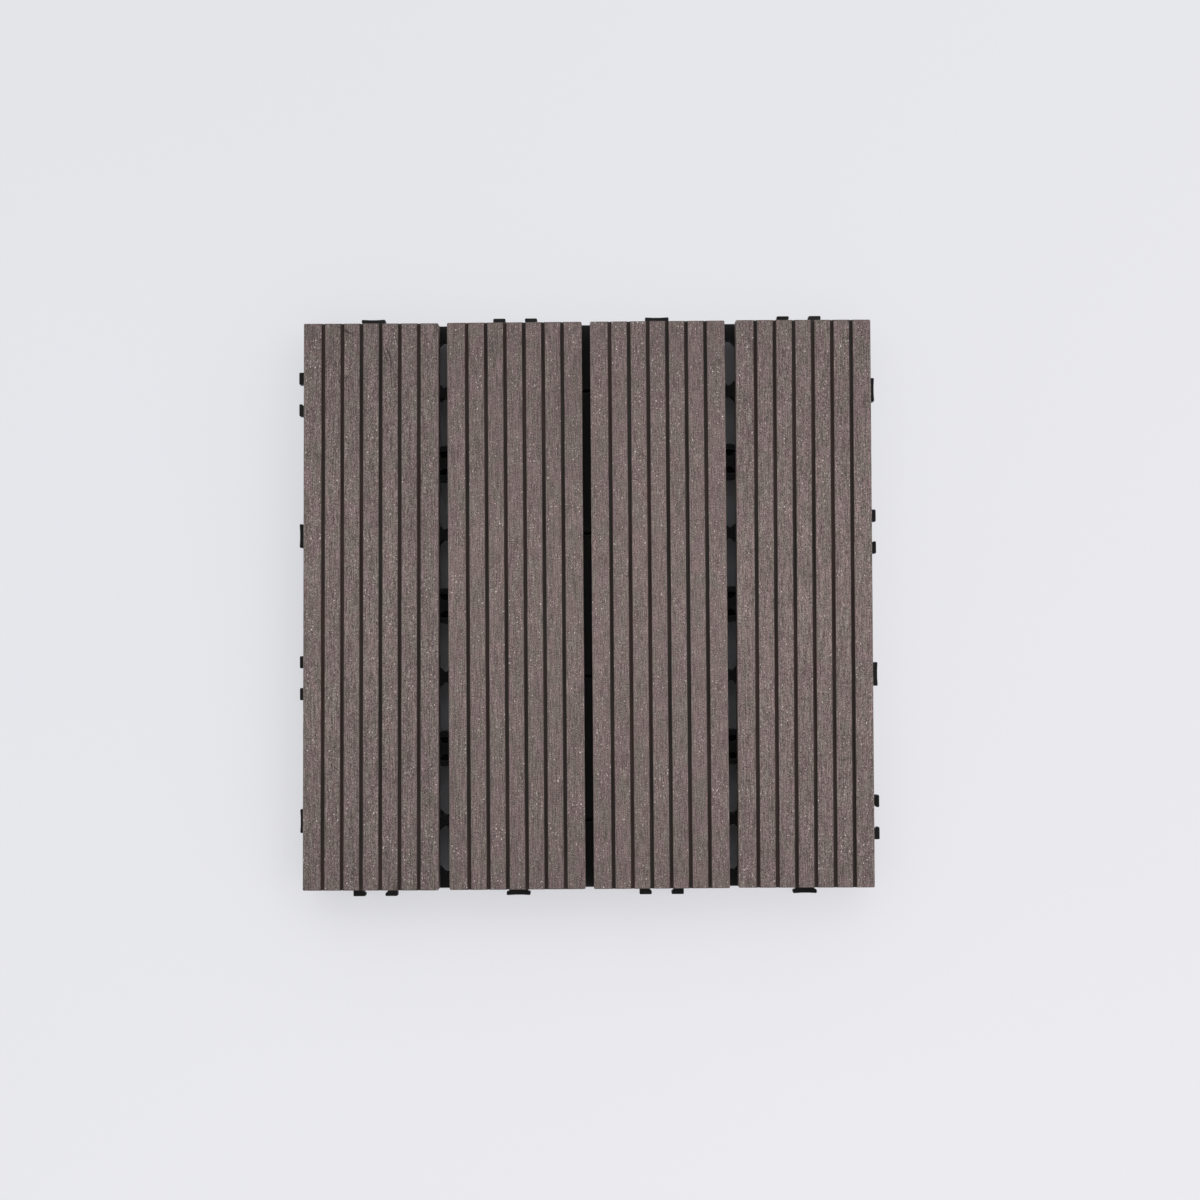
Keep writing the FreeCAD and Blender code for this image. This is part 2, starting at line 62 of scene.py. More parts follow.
def addCamera(look):
    data = bpy.data.cameras.new("camera")
    data.lens = look["lens"]
    data.sensor_width = look["sensor"]
    data.clip_start, data.clip_end = look["clip"]
    camera = bpy.data.objects.new("camera", data)
    bpy.context.scene.collection.objects.link(camera)
    turn = (
        Matrix.Rotation(math.radians(look["roll"]), 3, "Z")
        @ Matrix.Rotation(math.radians(look["tilt"]), 3, "X")
        @ Matrix.Rotation(math.radians(look["lean"]), 3, "Y")
    )
    camera.matrix_world = Matrix.Translation(look["place"]) @ turn.transposed().to_4x4()
    bpy.context.scene.camera = camera


# The nodes of a material or of the world. A value is a number, a colour or another node's output.
class Nodes:
    def __init__(self, tree):
        self.tree = tree

    def join(self, value, socket):
        if isinstance(value, bpy.types.NodeSocket):
            self.tree.links.new(value, socket)
        elif socket.type == "RGBA":
            socket.default_value = (*value, 1)
        else:
            socket.default_value = value

    def node(self, kind, **values):
        made = self.tree.nodes.new(kind)
        for name, value in values.items():
            self.join(value, made.inputs[name])
        return made

    def sum(self, operation, *values):
        made = self.tree.nodes.new("ShaderNodeMath")
        made.operation = operation
        for value, socket in zip(values, made.inputs):
            self.join(value, socket)
        return made.outputs[0]

    # Takes the span from low to high to the span from toLow to toHigh, and stays in it.
    def fit(self, value, low, high, toLow=0.0, toHigh=1.0):
        made = self.node("ShaderNodeMapRange", Value=value)
        for name, number in (("From Min", low), ("From Max", high), ("To Min", toLow), ("To Max", toHigh)):
            self.join(number, made.inputs[name])
        return made.outputs["Result"]

    def blend(self, factor, first, second, how="MIX"):
        made = self.tree.nodes.new("ShaderNodeMix")
        made.data_type = "RGBA"
        made.blend_type = how
        # This node's colours come after its numbers and its vectors.
        for value, socket in ((factor, made.inputs[0]), (first, made.inputs[6]), (second, made.inputs[7])):
            self.join(value, socket)
        return made.outputs[2]

    def times(self, first, second):
        return self.blend(1.0, first, second, "MULTIPLY")

    def split(self, vector):
        return self.node("ShaderNodeSeparateXYZ", Vector=vector).outputs


# A material under construction
class Finish(Nodes):
    def __init__(self, name, look):
        self.material = bpy.data.materials.new(name)
        self.material.use_nodes = True
        super().__init__(self.material.node_tree)
        self.shader = self.tree.nodes["Principled BSDF"]
        self.shader.inputs["Roughness"].default_value = look["roughness"]
        self.shader.inputs["Specular IOR Level"].default_value = look["specular"]
        self.place = self.tree.nodes.new("ShaderNodeTexCoord").outputs["Object"]

    def stretched(self, scale, shift):
        made = self.node("ShaderNodeMapping", Vector=self.place, Scale=scale, Location=shift)
        return made.outputs["Vector"]

    def noise(self, scale, shift=(0, 0, 0), detail=2, rough=0.5, warp=0.0):
        values = {"Scale": 1, "Detail": detail, "Roughness": rough, "Distortion": warp}
        return self.node("ShaderNodeTexNoise", Vector=self.stretched(scale, shift), **values).outputs["Fac"]

    # A noise, and a colour that goes from one tone to the other with it.
    def pattern(self, look, shift=(0, 0, 0)):
        made = self.noise(look["scale"], shift, **look.get("noise", {}))
        return made, self.blend(self.fit(made, *look["levels"]), *look["tones"])

    # Soft round specks in a share of the cells, seen from above.
    def flecks(self, look, shift):
        made = self.node("ShaderNodeTexVoronoi", Vector=self.stretched(look["scale"], shift))
        made.voronoi_dimensions = "2D"
        made.inputs["Scale"].default_value = 1
        chance = self.node("ShaderNodeSeparateColor", Color=made.outputs["Color"]).outputs
        size = self.fit(chance["Green"], 0, 1, *look["sizes"])
        speck = self.fit(self.sum("DIVIDE", made.outputs["Distance"], size), *look["fade"], 1, 0)
        kept = self.sum("LESS_THAN", chance["Red"], look["share"])
        return self.sum("MULTIPLY", self.sum("MULTIPLY", speck, kept), chance["Blue"])

    def flecked(self, body, look, shift, crowd=1.0):
        mask = self.sum("MULTIPLY", self.flecks(look, shift), crowd)
        return self.blend(self.sum("MULTIPLY", mask, look["strength"]), body, look["tone"])

    def bump(self, height, look):
        made = self.node("ShaderNodeBump", Height=height, Distance=look["height"])
        made.inputs["Strength"].default_value = look["strength"]
        self.join(made.outputs["Normal"], self.shader.inputs["Normal"])

    def colour(self, value):
        self.join(value, self.shader.inputs["Base Color"])

    def roughen(self, value, levels, ends):
        self.join(self.fit(value, *levels, *ends), self.shader.inputs["Roughness"])


def meshOf(bm, name):
    mesh = bpy.data.meshes.new(name)
    bm.to_mesh(mesh)
    bm.free()
    return mesh


def addObject(name, mesh, materials=()):
    for material in materials:
        mesh.materials.append(material)
    made = bpy.data.objects.new(name, mesh)
    bpy.context.scene.collection.objects.link(made)
    return made


def roundEdges(bm, edges, radius, steps):
    bmesh.ops.bevel(bm, geom=edges, offset=radius, affect="EDGES", segments=steps, profile=0.5, material=-1)


def newVerts(made):
    return [item for item in made["geom"] if isinstance(item, bmesh.types.BMVert)]


# Brushed face of a board: fine grain drawn out along it, pale flecks and slow colour, with painted shade
# towards its ends and a painted highlight along each ridge's left edge
faceLook = {
    "roughness": 0.8,
    "specular": 0.3,
    "rough": {"levels": (0.3, 0.7), "ends": (0.86, 0.7)},
    "shift": (17.3, 5.1, 2.7),  # moves the patterns from one board to the next
    "streak": {
        "scale": (3300, 105, 300),
        "noise": {"rough": 0.55},
        "levels": (0.36, 0.66),
        "tones": ((0.104, 0.0786, 0.0738), (0.229, 0.180, 0.171)),
    },
    "paintedEndShade": {  # painted shade, a little paler half way along than at the two ends
        "levels": (30 * mm, 150 * mm),
        "tones": ((1.075, 1.075, 1.07), (0.90, 0.895, 0.90)),
    },
    "grain": {
        "scale": (3300, 1750, 3300),
        "noise": {"rough": 0.6},
        "levels": (0.37, 0.65),
        "tones": ((0.38, 0.37, 0.36), (1.63, 1.63, 1.63)),
    },
    "broad": {
        "scale": (150, 24, 60),
        "levels": (0.3, 0.7),
        "tones": ((0.93, 0.93, 0.935), (1.06, 1.06, 1.055)),
    },
    "patch": {
        "scale": (210, 70, 90),
        "noise": {"detail": 3, "rough": 0.6, "warp": 0.5},
        "levels": (0.38, 0.62),
        "tones": ((0.95, 1.005, 0.94), (1.06, 0.98, 1.02)),
    },
    "paintedHighlight": {  # painted highlight along the left edge of each ridge, broken up by noise
        "scale": (300, 130, 300),
        "noise": {"detail": 3, "rough": 0.7},
        "levels": (0.42, 0.62),
        "lean": (-0.1, -0.3),
        "strength": 0.6,
        "tone": (0.30, 0.262, 0.25),
    },
    "crowd": {  # where pale flecks gather
        "scale": (95, 60, 95),
        "levels": (0.36, 0.62),
        "ends": (0.25, 1.15),
    },
    "pore": {
        "scale": (760, 420, 1),
        "share": 0.55,
        "sizes": (0.18, 0.32),
        "fade": (0.6, 1.2),  # in sizes, where a fleck starts to fade and where it has gone
        "strength": 0.5,
        "tone": (0.05, 0.037, 0.035),
    },
    "faint": {
        "scale": (800, 560, 1),
        "share": 0.6,
        "sizes": (0.12, 0.27),
        "fade": (0.6, 1.2),
        "strength": 0.75,
        "tone": (0.47, 0.40, 0.375),
    },
    "bright": {
        "scale": (430, 330, 1),
        "share": 0.42,
        "sizes": (0.07, 0.135),
        "fade": (0.6, 1.2),
        "strength": 1.0,
        "tone": (0.76, 0.67, 0.62),
    },
    "relief": {"streak": 0.5, "grain": 0.8},
    "bump": {"height": 0.16 * mm, "strength": 0.8},
}


# Mask of a painted highlight: faces that lean to the left, broken up by noise.
def paintedHighlightMask(finish, look):
    normal = finish.tree.nodes.new("ShaderNodeNewGeometry").outputs["Normal"]
    patchy = finish.fit(finish.noise(look["scale"], **look["noise"]), *look["levels"])
    lean = finish.fit(finish.split(normal)["X"], *look["lean"], 0, look["strength"])
    return finish.sum("MULTIPLY", lean, patchy)


def boardFaceFinish(name, tone, index, look=faceLook):
    finish = Finish(f"{name}_brushed", look)
    shift = [step * index for step in look["shift"]]
    ahead = finish.sum("ABSOLUTE", finish.split(finish.place)["Y"])
    # painted shade: darker towards both ends of the board
    paintedEndShade = finish.blend(finish.fit(ahead, *look["paintedEndShade"]["levels"]), *look["paintedEndShade"]["tones"])
    streak, body = finish.pattern(look["streak"], shift)
    grain, grained = finish.pattern(look["grain"], shift)
    broad, patch = (finish.pattern(look[layer], shift)[1] for layer in ("broad", "patch"))
    for layer in (tone, paintedEndShade, grained, broad, patch):
        body = finish.times(body, layer)
    # painted highlight on the left edges of the ridges
    body = finish.blend(paintedHighlightMask(finish, look["paintedHighlight"]), body, look["paintedHighlight"]["tone"])
    crowd = look["crowd"]
    crowded = finish.fit(finish.noise(crowd["scale"], shift), *crowd["levels"], *crowd["ends"])
    body = finish.flecked(body, look["pore"], (shift[1], shift[0], 0))
    body = finish.flecked(body, look["faint"], shift, crowded)
    body = finish.flecked(body, look["bright"], (shift[1], shift[2], 0), crowded)
    if index == 0:
        body = addScuffs(finish, body)
    finish.colour(body)
    finish.roughen(grain, **look["rough"])
    lines = finish.sum("MULTIPLY", streak, look["relief"]["streak"])
    grains = finish.sum("MULTIPLY", grain, look["relief"]["grain"])
    finish.bump(finish.sum("ADD", lines, grains), look["bump"])
    return finish.material


# Worn marks at the far end of the first board, in millimetres: middle, half sizes, turn in degrees
scuffs = [
    {"at": (-126.8, 145.8), "size": (3.8, 0.65), "turn": -28, "dark": 0.9},
    {"at": (-124.5, 145.0), "size": (2.6, 0.5), "turn": 8, "dark": 0.55},
    {"at": (-105.0, 134.6), "size": (0.55, 2.8), "turn": 26, "dark": 0.85},
    {"at": (-103.6, 129.8), "size": (0.5, 3.3), "turn": 8, "dark": 0.8},
    {"at": (-106.2, 132.0), "size": (0.45, 3.2), "turn": 19, "dark": 0.6},
    {"at": (-135.1, 135.4), "size": (1.9, 5.5), "turn": 6, "dark": 0.2},
    {"at": (-133.0, 128.5), "size": (0.5, 3.0), "turn": 20, "dark": 0.5},
    {"at": (-130.3, 119.4), "size": (0.9, 1.7), "turn": 0, "dark": 0.9},
    {"at": (-127.2, 121.5), "size": (1.6, 0.9), "turn": 0, "dark": 0.45},
    {"at": (-126.5, 112.6), "size": (1.3, 0.7), "turn": 15, "dark": 0.4},
    {"at": (-146.5, 145.5), "size": (3.2, 5.0), "turn": 0, "dark": 0.2},
]
scuffLook = {
    "ragged": (320, 210, 10),
    "levels": (0.3, 0.7),
    "wander": 0.45,  # how far the ragged outline strays, in half sizes
    "fade": (0.7, 1.4),  # in half sizes, where a mark starts to fade and where it has gone
    "tone": (0.045, 0.036, 0.034),
    "height": 22.0 * mm,
}


def addScuffs(finish, body, look=scuffLook):
    wobble = finish.noise(look["ragged"], detail=3)
    for scuff in scuffs:
        across, along = scuff["at"]
        wide, long = scuff["size"]
        mapping = finish.tree.nodes.new("ShaderNodeMapping")
        mapping.vector_type = "TEXTURE"
        mapping.inputs["Location"].default_value = (across * mm, along * mm, look["height"])
        mapping.inputs["Rotation"].default_value = (0, 0, math.radians(scuff["turn"]))
        mapping.inputs["Scale"].default_value = (wide * mm, long * mm, 1)
        finish.join(finish.place, mapping.inputs["Vector"])
        away = finish.tree.nodes.new("ShaderNodeVectorMath")
        away.operation = "LENGTH"
        finish.join(mapping.outputs["Vector"], away.inputs[0])
        stray = finish.fit(wobble, *look["levels"], -look["wander"], look["wander"])
        ragged = finish.sum("ADD", away.outputs["Value"], stray)
        mask = finish.sum("MULTIPLY", finish.fit(ragged, *look["fade"], 1, 0), scuff["dark"])
        body = finish.blend(mask, body, look["tone"])
    return body


# The dark extruded skin in the grooves, which the brushes don't reach, darkened further by painted shade
grooveSkinAndShadeLook = {
    "roughness": 0.62,
    "specular": 0.3,
    "shift": (3.9, 1.7, 0.6),
    "streak": {
        "scale": (900, 20, 900),
        "levels": (0.35, 0.65),
        # unbrushed skin, darkened further by painted shade: far darker than the sides
        "tones": ((0.026, 0.019, 0.016), (0.052, 0.040, 0.036)),
    },
    "patch": {
        "scale": (120, 14, 60),
        "levels": (0.35, 0.65),
        "tones": ((0.8, 0.88, 0.82), (1.3, 1.05, 1.0)),
    },
    "bump": {"height": 0.08 * mm, "strength": 0.6},
}


def grooveSkinAndShadeFinish(name, index, look=grooveSkinAndShadeLook):
    finish = Finish(f"{name}_groove", look)
    shift = [step * index for step in look["shift"]]
    streak, body = finish.pattern(look["streak"], shift)
    finish.colour(finish.times(body, finish.pattern(look["patch"], shift)[1]))
    finish.bump(streak, look["bump"])
    return finish.material


# Sides, underside and sawn ends of a board: plain composite with fibres in it
sideLook = {
    "roughness": 0.68,
    "specular": 0.35,
    "shift": (1.9, 7.7, 4.6),
    "drawn": {
        "scale": (700, 26, 1300),
        "noise": {"detail": 3},
        "levels": (0.3, 0.7),
        "tones": ((0.088, 0.066, 0.060), (0.150, 0.116, 0.107)),
    },
    "grain": {
        "scale": (1700, 1700, 1700),
        "noise": {"detail": 3, "rough": 0.65},
        "levels": (0.35, 0.68),
        "tones": ((0.78, 0.77, 0.76), (1.22, 1.22, 1.22)),
    },
    "fibre": {
        "scale": (650, 190, 650),
        "noise": {"detail": 1},
        "levels": (0.66, 0.72),
        "strength": 0.5,
        "tone": (0.40, 0.35, 0.32),
    },
    "bump": {"height": 0.09 * mm, "strength": 0.6},
}


def boardSideFinish(name, index, look=sideLook):
    finish = Finish(f"{name}_side", look)
    shift = [step * index for step in look["shift"]]
    drawn, body = finish.pattern(look["drawn"], shift)
    grain, speckled = finish.pattern(look["grain"], shift)
    fibre = look["fibre"]
    fibres = finish.noise(fibre["scale"], shift, **fibre["noise"])
    mask = finish.fit(fibres, *fibre["levels"], 0, fibre["strength"])
    finish.colour(finish.blend(mask, finish.times(body, speckled), fibre["tone"]))
    finish.bump(finish.sum("ADD", drawn, grain), look["bump"])
    return finish.material


# Boards, with the roundings and the brushing that the plain solids leave out
boardLook = {
    "width": 71.5 * mm,
    "length": 300 * mm,
    "skew": -0.25,  # degrees, the two outer boards only
    "pitch": 10.14 * mm,
    "grooves": 6,
    "grooveTop": 1.7 * mm,
    "grooveFloor": 1.1 * mm,
    "grooveDepth": 1.5 * mm,
    "corner": {"radius": 0.7 * mm, "steps": 4},  # of the four corners, seen from above
    "edge": {"radius": 0.45 * mm, "steps": 3},  # along the ridges
    "sharp": 30,  # degrees between its two faces, from which on an edge is rounded
    "brushLines": 8,  # brushed furrows across one ridge
    "stretches": 30,  # pieces along the length, for the unevenness of brushed ridges
    "furrow": {"depth": 0.07 * mm, "across": 1150, "along": 9, "seed": (11.0, 0)},
    "wave": {"depth": 0.02 * mm, "across": 260, "along": 60, "seed": (11.0, 9)},
    "wear": {"depth": 0.05 * mm, "across": 90, "along": 140, "seed": (5.0, 0)},
    "wearDown": 0.7,  # share of the groove's depth that its edges are worn to
    "slack": 0.05 * mm,  # play in telling heights apart once the ridges are brushed
    "margin": 4 * mm,  # beside the outermost grooves
    "brushed": 0.8,  # steepest face that the brushes reach, as the upward part of its normal
    "smooth": 0.35,  # steepest face that is shaded smooth
    "sawn": 0.9,  # a sawn end, as the part of its normal along the board
}

boards = {
    "board_left_outer": {"centre": -114.65 * mm, "skewed": True, "tone": (0.96, 0.975, 0.96)},
    "board_left_inner": {"centre": -37.95 * mm, "skewed": False, "tone": (1.0, 1.005, 0.99)},
    "board_right_inner": {"centre": 37.95 * mm, "skewed": False, "tone": (1.05, 1.045, 1.035)},
    "board_right_outer": {"centre": 114.65 * mm, "skewed": True, "tone": (1.07, 1.075, 1.065)},
}


# The board's end as one face, in the XZ plane, centred on the groove pattern.
def boardSection(bm, look, low, high):
    half = look["width"] / 2
    top, floor, bottom = look["grooveTop"] / 2, look["grooveFloor"] / 2, high - look["grooveDepth"]
    outline = [(-half, low), (half, low), (half, high)]
    for groove in range(look["grooves"]):
        middle = look["pitch"] * (look["grooves"] / 2 - 0.5 - groove)
        outline += [(middle + top, high), (middle + floor, bottom)]
        outline += [(middle - floor, bottom), (middle - top, high)]
    outline.append((-half, high))
    corners = [bm.verts.new((across, -look["length"] / 2, up)) for across, up in outline]
    return bm.faces.new(corners)


def roundBoard(bm, look, low, high):
    half = look["width"] / 2
    uprights = [
        edge
        for edge in bm.edges
        if all(abs(abs(vert.co.x) - half) < hair for vert in edge.verts)
        and abs(edge.verts[0].co.z - edge.verts[1].co.z) > (high - low) / 2
    ]
    roundEdges(bm, uprights, **look["corner"])
    rims = [
        edge
        for edge in bm.edges
        if all(vert.co.z > high - hair for vert in edge.verts)
        and edge.calc_face_angle(0) > math.radians(look["sharp"])
    ]
    roundEdges(bm, rims, **look["edge"])


def cutAcross(bm, places, normal):
    for place in places:
        geometry = bm.verts[:] + bm.edges[:] + bm.faces[:]
        bmesh.ops.bisect_plane(bm, geom=geometry, dist=1e-7, plane_co=normal * place, plane_no=normal)


# Lines along the ridges and across the board, for the brushing to move.
def cutRidges(bm, look):
    ridges, lines = look["grooves"] + 1, look["brushLines"]
    ridgeWidth = look["pitch"] - look["grooveTop"] - 2 * look["edge"]["radius"]
    places = []
    for ridge in range(ridges):
        middle = look["pitch"] * (ridge - (ridges - 1) / 2)
        places += [middle + ridgeWidth * ((line + 0.5) / lines - 0.5) for line in range(lines)]
    cutAcross(bm, places, Vector((1, 0, 0)))
    step = look["length"] / look["stretches"]
    places = [step * (cut - look["stretches"] / 2) for cut in range(1, look["stretches"])]
    cutAcross(bm, places, Vector((0, 1, 0)))


def unevenness(vert, look, index):
    step, start = look["seed"]
    return noise.noise(Vector((vert.co.x * look["across"], vert.co.y * look["along"], step * index + start)))


# Furrows that the wire brush left in the ridges, a little different along the way.
def brushRidges(bm, look, top, index):
    for vert in bm.verts:
        if vert.co.z > top - hair:
            depths = [
                look[name]["depth"] * (0.5 + 0.5 * unevenness(vert, look[name], index))
                for name in ("furrow", "wave")
            ]
            vert.co.z -= sum(depths)


def wearEdges(bm, look, top, index):
    wear, bottom = look["wear"], top - look["grooveDepth"] * look["wearDown"]
    for vert in bm.verts:
        if bottom < vert.co.z < top - look["slack"]:
            vert.co.x += wear["depth"] * unevenness(vert, wear, index)


# Brushed faces on top, dark skin with painted shade in the grooves, and plain composite elsewhere.
def shareOutFaces(bm, look, top):
    rim = top - look["edge"]["radius"] * 1.05
    bottom = top - look["grooveDepth"] - look["slack"]
    for face in bm.faces:
        middle = face.calc_center_median()
        inGroove = middle.z > bottom and abs(middle.x) < look["width"] / 2 - look["margin"]
        if face.normal.z > look["brushed"] and middle.z > rim:
            face.material_index = 0
        elif inGroove and abs(face.normal.y) < look["sawn"]:
            face.material_index = 1
        else:
            face.material_index = 2
        face.smooth = middle.z > rim and abs(face.normal.z) > look["smooth"]


def addBoard(name, board, index, look):
    low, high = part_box(name)
    bm = bmesh.new()
    swept = bmesh.ops.extrude_face_region(bm, geom=[boardSection(bm, look, low.z, high.z)])
    bmesh.ops.translate(bm, verts=newVerts(swept), vec=(0, look["length"], 0))
    roundBoard(bm, look, low.z, high.z)
    cutRidges(bm, look)
    brushRidges(bm, look, high.z, index)
    wearEdges(bm, look, high.z, index)
    bmesh.ops.recalc_face_normals(bm, faces=bm.faces[:])
    shareOutFaces(bm, look, high.z)
    turn = math.radians(look["skew"]) if board["skewed"] else 0.0
    place = Matrix.Translation((board["centre"], 0, 0)) @ Matrix.Rotation(turn, 4, "Z")
    bmesh.ops.transform(bm, matrix=place, verts=bm.verts)
    finishes = [
        boardFaceFinish(name, board["tone"], index),
        grooveSkinAndShadeFinish(name, index),
        boardSideFinish(name, index),
    ]
    piece = addObject(f"{name}_brushed", meshOf(bm, f"{name}_brushed"), finishes)
    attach(piece, "root")
    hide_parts(name)


ribStep = 19.05 * mm  # ribs cross at every other point of a net with this step

# The moulded grid, with the roundings that the plain solid leaves out
gridLook = {
    "half": 150.0 * mm,  # from the middle to the outer rib
    "corner": {"radius": 3.0 * mm, "steps": 8},
    "low": 3.0 * mm,
    "high": 11.0 * mm,
    "step": ribStep,
    "module": 4 * ribStep,  # from one foot or boss to the next
    "last": 6,  # outermost whole opening, in steps
    "slotRows": (-6, -2, 2, 6),  # in steps, where a drain slot joins two openings
    "waist": 2.12 * mm,  # half of a crossing of two ribs
    "wall": 3.0 * mm,
    "web": 4.7 * mm,
    "round": {"radius": 1.5 * mm, "steps": 5},  # corners of the openings
    "roundPair": {"radius": 0.4 * mm, "steps": 5},  # the same where two are joined
    "roundRim": {"radius": 0.5 * mm, "steps": 5},  # the same for three-cornered ones at the outer rib
    "spine": 4.0 * mm,  # half of the straight rib
    "spineGap": 1.0 * mm,  # from its ends to the outside
    "slot": (2.5 * mm, 0.95 * mm),  # half of a drain slot
    "roundSlot": {"radius": 0.3 * mm, "steps": 3},
    "foot": {"radii": (9.5 * mm, 6.5 * mm), "steps": 40, "places": (-1, 0, 1)},
    "boss": {"radii": (6.2 * mm, 4.3 * mm), "steps": 32, "places": (-1.5, -0.5, 0.5, 1.5)},
    "soft": 0.3 * mm,  # moulded edges
    "softSteps": 2,
    "sunk": 0.02 * mm,  # keeps the tops of fused parts from lying in one plane
}

# T keys and claw pairs, which stand out on all four sides
keyLook = {
    "reach": 4.4 * mm,
    "root": 1.5 * mm,  # how far they go into the outer rib
    "high": 8.5 * mm,
    "round": {"radius": 0.6 * mm, "steps": 4},
    "neck": 5.0 * mm,  # half
    "head": 6.35 * mm,  # half
    "headDepth": 2.0 * mm,
    "dip": (2.0 * mm, 0.25 * mm),  # half width and depth of the shallow hollow in a key's end
    "stem": (6.6 * mm, 11.8 * mm),  # both faces of a claw, from the middle of its pair
    "hook": (5.25 * mm, 1.4 * mm),  # its tip from there, and the depth of its straight part
    "keyPlaces": (-1.5, 0.5),  # in modules from the middle of a side
    "clawPlaces": (-0.5, 1.5),
}

# Black plastic, a little cloudy and streaked by its flow
plasticLook = {
    "roughness": 0.4,
    "specular": 0.3,
    "rough": {"levels": (0.3, 0.7), "ends": (0.33, 0.5)},
    "cloud": {
        "scale": (45, 45, 45),
        "noise": {"detail": 3},
        "levels": (0.35, 0.7),
        "tones": ((0.0060, 0.0060, 0.0056), (0.0105, 0.0104, 0.0098)),
    },
    "flow": {
        "scale": (260, 30, 90),
        "noise": {"warp": 0.5},
        "levels": (0.3, 0.7),
        "tones": ((0.88, 0.88, 0.88), (1.12, 1.12, 1.13)),
    },
    "skin": (2600, 2600, 2600),
    "flowRelief": 0.5,
    "bump": {"height": 0.05 * mm, "strength": 0.5},
}


def gridFinish(look=plasticLook):
    finish = Finish("moulded_black", look)
    cloud, body = finish.pattern(look["cloud"])
    flow, streaked = finish.pattern(look["flow"])
    finish.colour(finish.times(body, streaked))
    finish.roughen(cloud, **look["rough"])
    flowed = finish.sum("MULTIPLY", flow, look["flowRelief"])
    finish.bump(finish.sum("ADD", finish.noise(look["skin"]), flowed), look["bump"])
    return finish.material


# An outline through the corners, with an arc in each.
def roundedLoop(corners, radius, steps):
    points = []
    for index, corner in enumerate(corners):
        here = Vector(corner)
        back = (Vector(corners[index - 1]) - here).normalized()
        ahead = (Vector(corners[(index + 1) % len(corners)]) - here).normalized()
        half = back.angle(ahead) / 2
        centre = here + (back + ahead).normalized() * radius / math.sin(half)
        start = here + back * radius / math.tan(half) - centre
        sweep = start.angle_signed(here + ahead * radius / math.tan(half) - centre)
        for step in range(steps + 1):
            # angle_signed counts clockwise, a rotation matrix the other way.
            points.append(centre + Matrix.Rotation(-sweep * step / steps, 2) @ start)
    return points


def ringLoop(centre, radius, steps):
    turns = [math.tau * step / steps for step in range(steps)]
    return [Vector(centre) + radius * Vector((math.cos(turn), math.sin(turn))) for turn in turns]


# A flat piece with softened edges: the first loop is its outline and the others are openings.
def addSlab(whole, loops, low, high, soft):
    bm = bmesh.new()
    edges = []
    for loop in loops:
        verts = [bm.verts.new((*point, low)) for point in loop]
        edges += [bm.edges.new((verts[index - 1], vert)) for index, vert in enumerate(verts)]
    bmesh.ops.triangle_fill(bm, edges=edges, use_beauty=True)
    raised = bmesh.ops.extrude_face_region(bm, geom=bm.faces[:])
    bmesh.ops.translate(bm, verts=newVerts(raised), vec=(0, 0, high - low))
    bmesh.ops.recalc_face_normals(bm, faces=bm.faces[:])
    rims = [
        edge
        for edge in bm.edges
        if abs(edge.verts[0].co.z - edge.verts[1].co.z) < hair and edge.calc_face_angle(0) > 1
    ]
    roundEdges(bm, rims, soft, gridLook["softSteps"])
    mesh = meshOf(bm, "slab")
    whole.from_mesh(mesh)
    bpy.data.meshes.remove(mesh)


def diamond(across, along, half, corner):
    corners = [(across + half, along), (across, along + half)]
    corners += [(across - half, along), (across, along - half)]
    return roundedLoop(corners, **corner)


# The two openings beside a drain slot, joined through it under the straight rib.
def slottedPair(look, along):
    step, slot = look["step"], look["slot"][1]
    near, half = look["waist"] + slot, step - look["waist"]
    right = [
        (near, along - slot),
        (step, along - half),
        (step + half, along),
        (step, along + half),
        (near, along + slot),
    ]
    left = [(-across, height) for across, height in reversed(right)]
    return roundedLoop(right + left, **look["roundPair"])


# Whole diamonds between the slanting ribs.
def wholeOpenings(look):
    step, last = look["step"], look["last"]
    loops = []
    for column in range(-last, last + 1):
        for row in range(-last, last + 1):
            besideSlot = abs(column) == 1 and row in look["slotRows"]
            if (column + row) % 2 and not besideSlot:
                loops.append(diamond(column * step, row * step, step - look["waist"], look["round"]))
    return loops + [slottedPair(look, row * step) for row in look["slotRows"]]


# Shorter diamonds next to the outer rib, and three-cornered openings between them.
def rimOpenings(look):
    step, last = look["step"], look["last"]
    rim = look["half"] - look["wall"]
    short = (rim - look["web"] - last * step - look["waist"]) / 2
    away = last * step + look["waist"] + short
    tip = (last + 1) * step + look["waist"]
    spread = rim - tip
    loops = []
    for side in (-1, 1):
        for place in range(-last, last + 1, 2):
            loops.append(diamond(place * step, side * away, short, look["round"]))
            loops.append(diamond(side * away, place * step, short, look["round"]))
        for place in range(-last - 1, last + 2, 2):
            middle = place * step
            end = [(middle - spread, side * rim), (middle, side * tip), (middle + spread, side * rim)]
            loops.append(roundedLoop(end, **look["roundRim"]))
            loops.append(roundedLoop([(along, across) for across, along in end], **look["roundRim"]))
    return loops


# The straight middle rib with its drain slots.
def addSpine(bm, look, low, high):
    half, end = look["spine"], look["half"] - look["spineGap"]
    wide, narrow = look["slot"]
    loops = [[(half, end), (-half, end), (-half, -end), (half, -end)]]
    for row in look["slotRows"]:
        near, far = row * look["step"] - narrow, row * look["step"] + narrow
        corners = [(wide, near), (wide, far), (-wide, far), (-wide, near)]
        loops.append(roundedLoop(corners, **look["roundSlot"]))
    addSlab(bm, loops, low, high, look["soft"] / 2)


# Outer and inner circle of every foot or boss.
def ringPairs(look, ring):
    spots = [place * look["module"] for place in ring["places"]]
    for across in spots:
        for along in spots:
            yield [ringLoop((across, along), radius, ring["steps"]) for radius in ring["radii"]]


